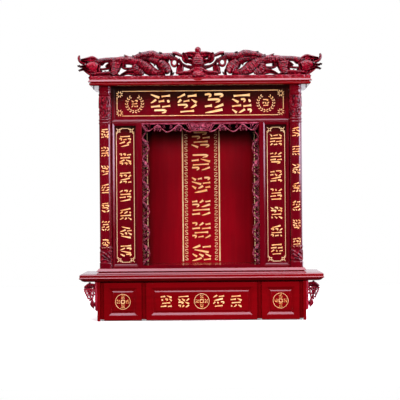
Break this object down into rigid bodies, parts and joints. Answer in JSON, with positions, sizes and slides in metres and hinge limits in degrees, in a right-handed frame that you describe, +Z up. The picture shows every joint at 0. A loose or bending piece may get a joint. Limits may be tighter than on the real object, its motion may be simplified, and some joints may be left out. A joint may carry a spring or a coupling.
{
  "type": "household altar cabinet",
  "caption": "Lacquered wooden household altar: a low case of drawers under a moulded table top, and a shrine with a deep niche, columns, a title board and a pierced dragon crest.",
  "frame": {"origin": "on the ground under the middle of the table top", "axes": "+Z up, -Y towards the front, +X to the viewer's right"},
  "size_m": [1.08, 0.4, 1.2097],
  "materials": {
    "table_lacquer": "gloss red lacquer",
    "case_lacquer": "gloss red lacquer",
    "shrine_lacquer": "gloss dark red lacquer with gilding",
    "carved_lacquer": "gloss red lacquer over carving",
    "inner_lacquer": "satin dark red lacquer",
    "drawer_wood": "plain planed wood"
  },
  "bodies": {
    "altar": {"table_top": "table_lacquer", "shrine_base": "table_lacquer", "cornice": "table_lacquer", "left_case_side": "case_lacquer", "left_case_stile": "case_lacquer", "left_case_divider": "case_lacquer", "right_case_side": "case_lacquer", "right_case_stile": "case_lacquer", "right_case_divider": "case_lacquer", "case_top_rail": "case_lacquer", "case_bottom": "case_lacquer", "case_back": "inner_lacquer", "shrine_floor": "inner_lacquer", "left_niche_wall": "inner_lacquer", "right_niche_wall": "inner_lacquer", "shrine_back": "inner_lacquer", "niche_ceiling": "inner_lacquer", "left_cornice_peg": "inner_lacquer", "right_cornice_peg": "inner_lacquer", "left_grape_bracket": "carved_lacquer", "right_grape_bracket": "carved_lacquer", "valance": "carved_lacquer", "left_vine_fretwork": "carved_lacquer", "right_vine_fretwork": "carved_lacquer", "dragon_crest": "carved_lacquer", "niche_sill": "shrine_lacquer", "left_column": "shrine_lacquer", "right_column": "shrine_lacquer", "left_couplet_frame": "shrine_lacquer", "right_couplet_frame": "shrine_lacquer", "left_couplet_board": "shrine_lacquer", "right_couplet_board": "shrine_lacquer", "title_frame": "shrine_lacquer", "title_board": "shrine_lacquer", "left_shrine_side": "shrine_lacquer", "right_shrine_side": "shrine_lacquer"},
    "left_drawer": {"left_drawer_front": "case_lacquer", "left_drawer_left_side": "drawer_wood", "left_drawer_right_side": "drawer_wood", "left_drawer_back": "drawer_wood", "left_drawer_bottom": "drawer_wood"},
    "centre_drawer": {"centre_drawer_front": "case_lacquer", "centre_drawer_left_side": "drawer_wood", "centre_drawer_right_side": "drawer_wood", "centre_drawer_back": "drawer_wood", "centre_drawer_bottom": "drawer_wood"},
    "right_drawer": {"right_drawer_front": "case_lacquer", "right_drawer_left_side": "drawer_wood", "right_drawer_right_side": "drawer_wood", "right_drawer_back": "drawer_wood", "right_drawer_bottom": "drawer_wood"}
  },
  "joints": [
    {"name": "left_drawer_slide", "type": "slide", "parent": "altar", "child": "left_drawer", "axis": [0, -1, 0], "range_m": [0, 0.24]},
    {"name": "centre_drawer_slide", "type": "slide", "parent": "altar", "child": "centre_drawer", "axis": [0, -1, 0], "range_m": [0, 0.24]},
    {"name": "right_drawer_slide", "type": "slide", "parent": "altar", "child": "right_drawer", "axis": [0, -1, 0], "range_m": [0, 0.24]}
  ]
}
